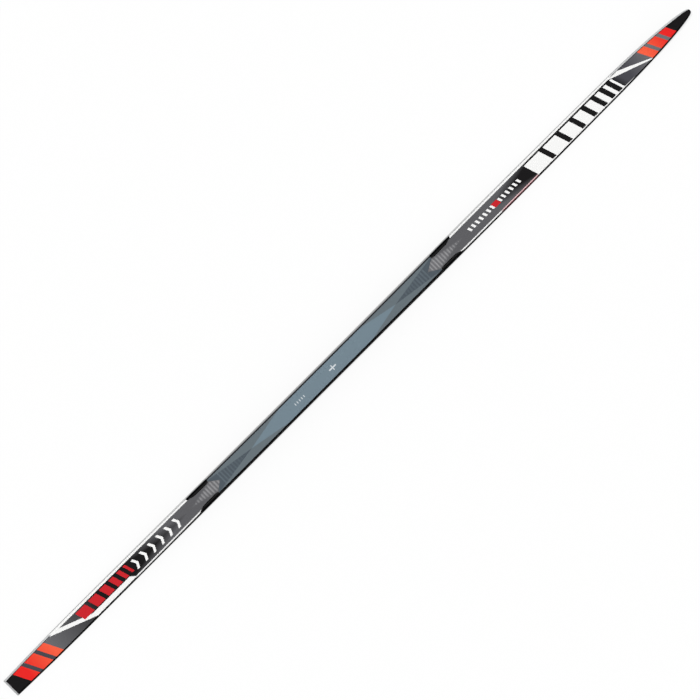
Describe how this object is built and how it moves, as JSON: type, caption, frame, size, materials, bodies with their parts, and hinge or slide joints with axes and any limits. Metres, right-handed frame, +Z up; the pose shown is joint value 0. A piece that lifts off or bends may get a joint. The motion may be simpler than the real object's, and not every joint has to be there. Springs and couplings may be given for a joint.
{
  "type": "cross country ski",
  "caption": "Slim cambered skating ski with a pointed turned-up tip, bevelled top edges, scalloped necks at both ends of a flat binding pad with ribbed ends, and a grooved running base.",
  "frame": {"origin": "on the ground under the middle of the ski, halfway between the tail end and the tip", "axes": "+X along the ski towards the tip, +Y towards the ski's left edge, +Z up from the snow"},
  "size_m": [1.91, 0.0472, 0.0435],
  "materials": {
    "base_polyethylene": "stone-ground sintered polyethylene",
    "fibre_laminate": "resin-bonded fibre laminate",
    "sidewall_abs": "milled black ABS",
    "core_foam": "rigid closed-cell foam",
    "spacer_abs": "black ABS filler",
    "plate_composite": "pressed fibre composite",
    "topsheet_film": "glossy printed film",
    "pad_film": "ribbed satin film"
  },
  "bodies": {
    "root": {"running_base": "base_polyethylene", "lower_laminate": "fibre_laminate", "sidewall_left": "sidewall_abs", "sidewall_right": "sidewall_abs", "foam_core": "core_foam", "tip_spacer": "spacer_abs", "tail_spacer": "spacer_abs", "binding_plate": "plate_composite", "upper_laminate": "fibre_laminate", "topsheet": "topsheet_film", "binding_pad": "pad_film"}
  },
  "joints": []
}
